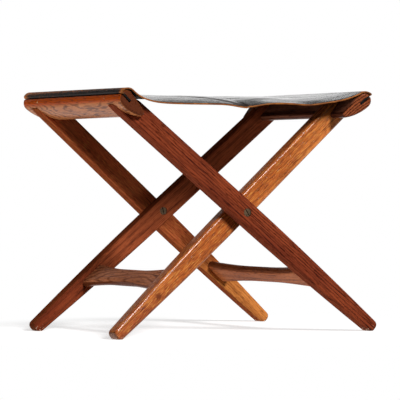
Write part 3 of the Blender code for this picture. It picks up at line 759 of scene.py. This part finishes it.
@dataclass(frozen=True)
class Studio:
    """A white floor and background with a soft lamp in front and weak fills low on the other sides.

    A dark dome, which only reflections see, is open overhead and low down behind the stool, so that
    polish on the near faces stays dark while the leather mirrors the white background.
    """

    lamps: tuple[SoftLamp, ...] = (
        SoftLamp("front_lamp", 7.0, 32.3, 3.05, 14.0),
        SoftLamp("left_bounce", -95.0, -42.0, 2.3, 40.0),
        SoftLamp("right_fill", 60.0, 2.0, 0.55, 25.0),
        SoftLamp("rear_fill", 180.0, 5.0, 0.9, 40.0, mirrored=False),
    )
    room_strength: float = 0.03
    floor_reach: float = 9.0
    floor_drop: float = 0.4 * MM
    floor_albedo: float = 0.22
    floor_seen_albedo: float = 0.7
    floor_glow: float = 0.66
    shadow_reach: Band = (0.3, 0.5)
    dome_reach: float = 8.0
    dome_segments: tuple[int, int] = (48, 45)
    dome_colour: str = "#2f2d2c"
    gap_heading: Band = (0.5, 0.866)
    gap_share: float = 0.7
    gap_height: float = math.radians(27.0)
    skylight_height: float = math.radians(52.0)

    @staticmethod
    def seen_directly(add: Adder) -> bpy.types.Node:
        """Say whether a ray comes from the camera, a reflection or through glass.

        Args:
            add: What adds nodes to the tree that asks.

        Returns:
            A node that gives 1 for such rays and 0 for all others.
        """
        path = add("LightPath").outputs
        mirrored = add("Math", {0: path["Is Camera Ray"], 1: path["Is Glossy Ray"]}, operation="MAXIMUM")
        return add("Math", {0: mirrored, 1: path["Is Transmission Ray"]}, operation="MAXIMUM")

    def build_room(self) -> None:
        """Light the scene from all sides, and show the room as white."""
        world = bpy.data.worlds.new("white_room")
        world.use_nodes = True
        bpy.context.scene.world = world
        add = partial(add_node, world.node_tree)
        strength = add("MapRange", {"Value": self.seen_directly(add),
                                    **span("To", (self.room_strength, 1.0))})
        feed(world.node_tree.nodes["Background"], {"Color": WHITE, "Strength": strength})

    def build_floor(self) -> None:
        """Lay a white floor that keeps the stool's shadow near its feet."""
        shape = bmesh.new()
        bmesh.ops.create_grid(shape, x_segments=1, y_segments=1, size=self.floor_reach)
        bmesh.ops.translate(shape, verts=shape.verts, vec=(0.0, 0.0, -self.floor_drop))
        floor = place_shape("floor", shape)
        made, add, shader = start_material("white_painted_floor")
        made.node_tree.nodes.remove(shader)
        bounced = add("BsdfDiffuse", {"Color": (self.floor_albedo,) * 3 + (1.0,)})
        lit = add("BsdfDiffuse", {"Color": (self.floor_seen_albedo,) * 3 + (1.0,)})
        glow = add("Emission", {"Color": WHITE, "Strength": self.floor_glow})
        near = add("AddShader", {0: lit, 1: glow})
        far = add("Emission", {"Color": WHITE, "Strength": 1.0})
        away = add("VectorMath", {0: add("TexCoord").outputs["Object"]}, operation="LENGTH")
        faded = add("MapRange", {"Value": away, **span("From", self.shadow_reach)},
                    interpolation_type="SMOOTHSTEP")
        shown = add("MixShader", {0: faded, 1: near, 2: far})
        mixed = add("MixShader", {0: self.seen_directly(add), 1: bounced, 2: shown})
        feed(made.node_tree.nodes["Material Output"], {"Surface": mixed})
        floor.data.materials.append(made)
        floor.visible_shadow = False

    def build_dark_dome(self) -> None:
        """Stand the dark dome round the stool, open overhead and towards the white behind it."""
        shape = bmesh.new()
        bmesh.ops.create_uvsphere(shape, u_segments=self.dome_segments[0], v_segments=self.dome_segments[1],
                                  radius=self.dome_reach)
        heading = Vector((*self.gap_heading, 0.0))
        gap_top = self.dome_reach * math.sin(self.gap_height)
        skylight = self.dome_reach * math.sin(self.skylight_height)
        opened = []
        for face in shape.faces:
            place = face.calc_center_median()
            behind = place.dot(heading) > self.gap_share * self.dome_reach
            if place.z > skylight or (behind and place.z < gap_top):
                opened.append(face)
        bmesh.ops.delete(shape, geom=opened, context="FACES")
        dome = place_shape("dark_dome", shape)
        made, _, shader = start_material("dark_studio_cloth")
        feed(shader, {"Base Color": linear(self.dome_colour), "Roughness": 1.0})
        dome.data.materials.append(made)
        dome.visible_camera = False
        dome.visible_diffuse = False
        dome.visible_shadow = False

    def build(self) -> None:
        """Set up the room, the dome, the lamps and the floor."""
        bpy.context.scene.view_settings.view_transform = "Standard"
        self.build_room()
        self.build_dark_dome()
        for lamp in self.lamps:
            lamp.build()
        self.build_floor()


@dataclass(frozen=True)
class LegFrame:
    """One of the two crossed frames: its legs, rail and stretcher, with wedge and pegs."""

    name: str
    rail_side: str
    stretcher_side: str
    front_leg: OiledTeak
    rear_leg: OiledTeak
    rail: OiledTeak
    stretcher: OiledTeak
    front_lip_peg: EndGrainPeg
    rear_lip_peg: EndGrainPeg
    leg_peg: EndGrainPeg

    def boards(self) -> dict[str, OiledTeak]:
        """List the boards of this frame.

        Returns:
            The finish of each board by its node.
        """
        return {
            f"{self.name}_front_leg": self.front_leg,
            f"{self.name}_rear_leg": self.rear_leg,
            f"{self.rail_side}_seat_rail": self.rail,
            f"{self.stretcher_side}_stretcher": self.stretcher,
        }

    def dress(self) -> None:
        """Dress the boards, the wedge strip and the pegs."""
        for name, finish in self.boards().items():
            dress(name, finish.material(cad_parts[name]))
        dress(f"{self.rail_side}_wedge_strip", StainedWedge().material())
        dress(f"{self.rail_side}_front_lip_peg", self.front_lip_peg.material())
        dress(f"{self.rail_side}_rear_lip_peg", self.rear_lip_peg.material())
        for place in ("front", "rear"):
            dress(f"{self.name}_{place}_leg_peg", self.leg_peg.material())


@dataclass(frozen=True)
class Pivot:
    """A pivot: a slotted screw in a slotted sleeve nut, with a washer between the legs."""

    place: str
    steel: TurnedMetal
    brass: TurnedMetal

    def dress(self) -> None:
        """Dress the screw, the sleeve nut and the washer."""
        for piece, metal in (("screw", self.steel), ("sleeve_nut", self.steel), ("washer", self.brass)):
            name = f"{self.place}_pivot_{piece}"
            low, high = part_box(name)
            outer = max((low.y, high.y), key=abs)
            inner = min((low.y, high.y), key=abs)
            face = inner if piece == "sleeve_nut" else outer
            dress(name, metal.material((low + high) / 2, face))


@dataclass(frozen=True)
class LeatherSeat:
    """The leather: one sheet slung over both rails, with its ends in their slits."""

    name: str = "slung_leather"
    pivot_height: float = 197.5 * MM
    leg_slope: float = math.radians(39.7)
    rail_reach: float = 287.5 * MM
    rail_radius: float = 13.4 * MM
    rail_rise: float = -2.4 * MM
    slit_rise: float = 0.3 * MM
    slit_depth: float = 22.0 * MM
    slit_gap: float = 0.55 * MM
    thickness: float = 2.4 * MM
    clearance: float = 0.25 * MM
    width: float = 345.0 * MM
    tail_width: float = 336.2 * MM
    sag_middle: float = 6.5 * MM
    sag_front: float = 19.4 * MM
    sag_rear: float = 3.0 * MM
    sag_power: float = 5.3
    left_front_power: float = 9.0
    droop_power: float = 3.0
    # Each hollow's depth, its place between the rails and its width.
    dip: Place = (5.4 * MM, -2.0 * MM, 29.0 * MM)
    front_wave: Place = (2.4 * MM, 113.0 * MM, 28.0 * MM)
    rear_wave: Place = (3.0 * MM, 115.0 * MM, 50.0 * MM)
    crease: Place = (1.4 * MM, -12.0 * MM, 16.0 * MM)
    crease_reach: float = 200.0 * MM
    # The crease's painted shade: a band from start to end, of this width and share, fading along it.
    crease_shade_start: Band = (-6.0 * MM, -172.0 * MM)
    crease_shade_end: Band = (-84.0 * MM, -96.0 * MM)
    crease_shade_width: float = 11.0 * MM
    crease_shade_share: float = 0.85
    crease_shade_fade: float = 0.3
    # How far the sheet stands off the left rail at its front and rear edge, and off the right lip.
    left_lift: Band = (1.5 * MM, 3.0 * MM)
    lift_power: float = 16.0
    settle_power: float = 2.0
    right_puff: float = 2.2 * MM
    puff_power: float = 3.0
    wrinkle_depth: float = 0.5 * MM
    wrinkle_length: float = 120.0 * MM
    wrinkle_width: float = 16.0 * MM
    edge_waver: float = 0.5 * MM
    waver_length: float = 30.0 * MM
    waver_power: float = 8.0
    waver_seed: float = 3.0
    # How far the rim darkens over a rail towards its slit, where it is painted black as shade.
    rail_darkening: float = 0.55
    sound_wear: float = 0.12
    rail_wear: float = 0.28
    # The middle and width of the strip that is rubbed most, as shares of the way over a rail.
    ridge: Band = (0.45, 0.25)
    ridge_wear: float = 0.15
    corner_reach: float = 10.0 * MM
    corner_wear: float = 0.3
    rear_start: float = 0.2
    rear_wear: float = 0.12
    rows: int = 110
    span_steps: int = 66
    wrap_steps: int = 16
    bend_steps: int = 6
    tail_steps: int = 4
    cut: str = "flat_sheet"
    wear: str = "rubbed_dye"
    slit: str = "in_slit"
    # The attribute that holds the crease's painted shade.
    crease_shaded: str = "painted_crease_shade"

    @property
    def steps(self) -> int:
        """Count the steps from the middle of the seat to the end in a slit."""
        return self.span_steps + self.wrap_steps + self.bend_steps + self.tail_steps

    def place(self, reach: float, rise: float) -> tuple[float, float]:
        """Turn a point of a leg's own plane into the stool's (X, Z)."""
        cos, sin = math.cos(self.leg_slope), math.sin(self.leg_slope)
        return reach * cos - rise * sin, self.pivot_height + reach * sin + rise * cos

    def fold(self, x: float, across: float) -> float:
        """Give the extra drop of the waves, the crease and the wrinkles.

        Args:
            x: The place between the rails.
            across: The place from the front edge to the rear one.

        Returns:
            How far the leather lies below its plain sag.
        """
        def hollow(depth: float, middle: float, width: float) -> float:
            """Give one rounded hollow."""
            return depth * math.exp(-((x - middle) / width) ** 2)

        edge = (abs(across) / (self.width / 2)) ** self.droop_power
        streak = noise.noise(Vector((x / self.wrinkle_length, across / self.wrinkle_width, 0.0)))
        wrinkle = self.wrinkle_depth * streak
        if across > 0:
            return edge * hollow(*self.rear_wave) + wrinkle
        fade = max(0.0, 1 - (across + self.width / 2) / self.crease_reach)
        crease = fade * (1 - edge) * hollow(*self.crease)
        return edge * (hollow(*self.dip) + hollow(*self.front_wave)) + crease + wrinkle

    def half_path(self, across: float, side: int) -> list[tuple[float, float]]:
        """Give the sheet's middle line from the seat's middle to one rail's slit.

        Args:
            across: The place from the front edge to the rear one.
            side: 1 for the right rail and -1 for the left one.

        Returns:
            Points (X, Z), one for each step and one for the start.
        """
        wrap = self.clearance + self.thickness / 2
        share_out = abs(across) / (self.width / 2)
        sag_edge = self.sag_rear if across > 0 else self.sag_front
        sag = self.sag_middle + (sag_edge - self.sag_middle) * share_out ** self.droop_power
        to_rear = across / self.width + 0.5
        lift = (1 - to_rear) * self.left_lift[0] + to_rear * self.left_lift[1] if side < 0 else 0.0
        puff = self.right_puff if side > 0 else 0.0
        half_span = self.place(self.rail_reach, self.rail_rise)[0]
        power = self.sag_power
        if side < 0 and across < 0:
            power += (self.left_front_power - self.sag_power) * share_out ** self.droop_power
        leave = math.pi / 2 - self.leg_slope + math.atan(power * sag / half_span)
        corner_turn = math.asin((self.slit_rise - self.rail_rise) / self.rail_radius)
        corner = self.rail_reach + self.rail_radius * math.cos(corner_turn)

        def on_arc(reach: float, rise: float, radius: float, turn: float) -> tuple[float, float]:
            """Give a point on an arc in the leg's plane."""
            return self.place(reach + radius * math.cos(turn), rise + radius * math.sin(turn))

        over_rail = [on_arc(self.rail_reach, self.rail_rise, self.rail_radius + wrap,
                            leave + (corner_turn - leave) * step / self.wrap_steps)
                     for step in range(self.wrap_steps + 1)]
        bend = [on_arc(corner, self.slit_rise, wrap,
                       corner_turn + (-math.pi / 2 - corner_turn) * step / self.bend_steps)
                for step in range(1, self.bend_steps + 1)]
        tail_end = self.rail_reach + self.rail_radius - self.slit_depth + self.slit_gap
        tail = [self.place(corner + (tail_end - corner) * step / self.tail_steps, self.slit_rise - wrap)
                for step in range(1, self.tail_steps + 1)]
        round_rail = []
        for step, (x, z) in enumerate(over_rail + bend):
            turned = step / (self.wrap_steps + self.bend_steps)
            nose = math.sin(math.pi * turned ** self.puff_power)
            round_rail.append((x + puff * nose, z + lift * (1 - turned ** self.settle_power)))
        edge_x, edge_z = over_rail[0]
        slung = []
        for step in range(self.span_steps):
            share = math.sin(math.pi / 2 * step / self.span_steps)
            hang = 1 - share ** power
            drop = (sag + self.fold(side * share * edge_x, across)) * hang
            slung.append((share * edge_x, edge_z - drop + lift * share ** self.lift_power))
        return [(side * x, z) for x, z in slung + round_rail + tail]

    def rubbed(self, step: int, across: float, side: int) -> float:
        """Say how far the dye is rubbed off at a place.

        Args:
            step: The step from the seat's middle towards a slit.
            across: The place from the front edge to the rear one.
            side: 1 for the right rail and -1 for the left one.

        Returns:
            Little for sound dye, and more the further it is worn through.
        """
        over_rail = (step - self.span_steps) / (self.wrap_steps + self.bend_steps)
        if not 0.0 <= over_rail <= 1.0:
            return self.sound_wear
        middle, width = self.ridge
        ridge = math.exp(-((over_rail - middle) / width) ** 2)
        corner = math.exp(-((abs(across) - self.width / 2) / self.corner_reach) ** 2)
        worn = self.rail_wear + self.ridge_wear * ridge + self.corner_wear * corner
        if side < 0:
            worn += self.rear_wear * max(0.0, across / self.width + self.rear_start)
        return worn

    def crease_shade(self, x: float, across: float) -> float:
        """Say how much shade is painted along the crease at a place.

        Args:
            x: The place between the rails.
            across: The place from the front edge to the rear one.

        Returns:
            Up to 1 on the crease, and 0 away from it.
        """
        start, end = Vector(self.crease_shade_start), Vector(self.crease_shade_end)
        place = Vector((x, across))
        share = min(1.0, max(0.0, (place - start).dot(end - start) / (end - start).length_squared))
        nearest = start.lerp(end, share)
        faded = self.crease_shade_share * (1 - self.crease_shade_fade * share)
        return faded * math.exp(-((place - nearest).length / self.crease_shade_width) ** 2)

    def build(self) -> bpy.types.Object:
        """Model the sheet.

        Returns:
            The leather.
        """
        shape = bmesh.new()
        bmesh.ops.create_grid(shape, x_segments=2 * self.steps, y_segments=self.rows, size=1.0)
        flat = shape.loops.layers.uv.new(self.cut)
        wear = shape.verts.layers.float.new(self.wear)
        slit = shape.verts.layers.float.new(self.slit)
        crease_shaded = shape.verts.layers.float.new(self.crease_shaded)
        middle_line = [Vector(point) for point in self.half_path(0.0, 1)]
        run = [0.0]
        for start, end in zip(middle_line, middle_line[1:]):
            run.append(run[-1] + (end - start).length)
        paths: dict[tuple[float, int], list[tuple[float, float]]] = {}
        laid: dict[bmesh.types.BMVert, tuple[float, float]] = {}
        for vert in shape.verts:
            across = vert.co.y * self.width / 2
            column = round(vert.co.x * self.steps)
            step = abs(column)
            side = 1 if column >= 0 else -1
            key = (round(across, ROW_DIGITS), side)
            if key not in paths:
                paths[key] = self.half_path(across, side)
            x, z = paths[key][step]
            laid[vert] = (side * run[step], across)
            vert[wear] = self.rubbed(step, across, side)
            in_tail = max(0.0, (step - self.steps) / self.tail_steps + 1)
            on_rail = min(1.0, max(0.0, (step - self.span_steps) / self.wrap_steps))
            # The rim darkens over the rail and is painted black as shade in the slit.
            vert[slit] = min(1.0, self.rail_darkening * on_rail + self.tail_steps * in_tail)
            # Shade is painted along the crease.
            vert[crease_shaded] = self.crease_shade(x, across)
            narrowed = across * (1 + (self.tail_width / self.width - 1) * in_tail)
            near_edge = (abs(across) / (self.width / 2)) ** self.waver_power
            waver = noise.noise(Vector((x / self.waver_length, across, self.waver_seed)))
            vert.co = Vector((x, narrowed + self.edge_waver * near_edge * waver, z))
        for face in shape.faces:
            for loop in face.loops:
                loop[flat].uv = laid[loop.vert]
            face.smooth = True
        leather = place_shape(self.name, shape)
        hide = leather.modifiers.new("leather_thickness", "SOLIDIFY")
        hide.thickness = self.thickness
        hide.offset = 0.0
        hide.use_even_offset = True
        # The underside gets the second material and the rim the third.
        hide.material_offset = 1
        hide.material_offset_rim = 2
        self.attach(leather)
        return leather

    def attach(self, leather: bpy.types.Object) -> None:
        """Bake the sheet's placement into its mesh, and hide the imported seat that it stands for.

        Args:
            leather: The sheet.
        """
        reach, height = self.place(self.rail_reach, self.rail_rise)
        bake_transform(leather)
        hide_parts("leather_seat")

    def dress(self, leather: bpy.types.Object) -> None:
        """Give the sheet its grain side, flesh side and cut edge.

        Args:
            leather: The sheet.
        """
        leather.data.materials.append(SaddleLeather().material(self.cut, self.wear, self.crease_shaded))
        leather.data.materials.append(FleshSide().material(self.cut))
        leather.data.materials.append(CutLeatherEdge().material(self.cut, self.slit))


RED_TEAK = OiledTeak("oiled_teak_red_brown", "#964528", "#7a3521", "#3a1813", "#8c442c",
                     pith=(0.0, 46 * MM, -60 * MM), ring_pitch=3.4 * MM, ring_sway=6 * MM,
                     fibre_width=1.7 * MM, specular=0.0)
# Its tint towards the foot is painted shade.
ORANGE_TEAK = OiledTeak("oiled_teak_orange", "#dc803f", "#c2662d", "#6a2e13", "#c06634",
                        pith=(0.0, 18 * MM, -90 * MM), ring_pitch=5 * MM, ring_share=0.3,
                        fibre_width=1.6 * MM, pore_width=1.2 * MM, pore_stretch=10.0, glint_share=0.5,
                        roughness=(0.12, 0.26), specular=0.22, knot=(-156 * MM, -148 * MM, 66 * MM),
                        painted_shade_tint="#ddcbda", painted_shade_reach=(90 * MM, 45 * MM))
# Its tint on the upper part is painted shade, the colour of the shade under the seat.
REAR_ORANGE_TEAK = OiledTeak("oiled_teak_orange_rear", "#d68442", "#bc6a33", "#74361a", "#8c4427",
                             painted_shade_tint="#f1cbed", pith=(0.0, -26 * MM, 70 * MM), ring_share=0.3,
                             fibre_width=1.6 * MM, pore_width=1.2 * MM, pore_stretch=10.0,
                             pore_share=0.5, glint_share=0.2, specular=0.0)
# Its tint near the foot is painted shade, where another leg shades it.
REAR_BROWN_TEAK = OiledTeak("oiled_teak_brown_rear", "#a65432", "#8a4026", "#562618", "#8a4323",
                            pith=(0.0, 30 * MM, 66 * MM), ring_share=0.35, fibre_width=1.7 * MM,
                            pore_share=0.4, specular=0.0, painted_shade_tint="#e1d3d3",
                            painted_shade_reach=(95 * MM, 65 * MM))
# The bright orange edge tone on the rail's lip is painted light, for the light from the left.
LEFT_RAIL_TEAK = OiledTeak("oiled_teak_left_rail", "#c47c4c", "#b0683a", "#5c2a10", "#b84c10",
                           edge_start=0.1, edge_streaks=0.45, pith=(40 * MM, 6 * MM, 30 * MM),
                           rings=Rings.ARCHES, grain_stretch=5.0, ring_pitch=2.6 * MM, ring_share=0.7,
                           ring_start=0.6, ring_sway=4 * MM, fibre_width=1.6 * MM, fibre_share=0.5,
                           specular=0.05)
# Its tones are darker than the left rail's, partly the wood's and partly painted shade for its side under
# the seat.
RIGHT_RAIL_TEAK = OiledTeak("oiled_teak_right_rail", "#85503a", "#6c4130", "#3a180c", "#5a3222",
                            pith=(0.0, -8 * MM, -160 * MM), ring_pitch=4.4 * MM, ring_share=0.8,
                            ring_start=0.45, ring_sway=2 * MM, end_grain="#a05532", end_streaks=1.0)
LEFT_STRETCHER_TEAK = OiledTeak("oiled_teak_left_stretcher", "#c87c54", "#ae653e", "#5a2812", "#5e2e18",
                                pith=(30 * MM, 20 * MM, 34 * MM), rings=Rings.ARCHES, grain_stretch=4.0,
                                ring_pitch=5 * MM, ring_share=0.5, ring_start=0.6, ring_sway=5 * MM,
                                specular=0.03)
# Its dark edge tone is partly painted shade.
RIGHT_STRETCHER_TEAK = OiledTeak("oiled_teak_right_stretcher", "#b2653a", "#964f2b", "#542410", "#6a361c",
                                 edge_start=0.03, pith=(0.0, 20 * MM, 34 * MM), ring_pitch=6 * MM,
                                 ring_share=0.3, specular=0.015)

PALE_PEG = EndGrainPeg("pale_end_grain_peg", "#d9a066", "#a5683a")
RAIL_TONED_PEG = EndGrainPeg("rail_toned_end_grain_peg", "#a4561f", "#6a3012")
LEG_PEG = EndGrainPeg("dark_end_grain_peg", "#7a3d1c", "#4a200f")

PIVOT_STEEL = TurnedMetal("dulled_turned_steel", "#77624c", "#4c3d2e")
WASHER_BRASS = TurnedMetal("tarnished_turned_brass", "#b08a4a", "#7d5c2a")

OUTER_FRAME = LegFrame("outer", "left", "right", RED_TEAK, REAR_ORANGE_TEAK, LEFT_RAIL_TEAK,
                       RIGHT_STRETCHER_TEAK, RAIL_TONED_PEG, PALE_PEG, LEG_PEG)
INNER_FRAME = LegFrame("inner", "right", "left", ORANGE_TEAK, REAR_BROWN_TEAK, RIGHT_RAIL_TEAK,
                       LEFT_STRETCHER_TEAK, RAIL_TONED_PEG, RAIL_TONED_PEG, LEG_PEG)


def main() -> None:
    """Set up the studio, then build and dress the stool piece by piece."""
    logging.basicConfig(level=logging.INFO, format="%(name)s: %(message)s")
    PhotoCamera().build()
    Studio().build()
    for legs in (OUTER_FRAME, INNER_FRAME):
        legs.dress()
    for place in ("front", "rear"):
        Pivot(place, PIVOT_STEEL, WASHER_BRASS).dress()
    seat = LeatherSeat()
    leather = seat.build()
    seat.dress(leather)
    LOG.info("built %s", leather.name)


if __name__ == "__main__":
    main()
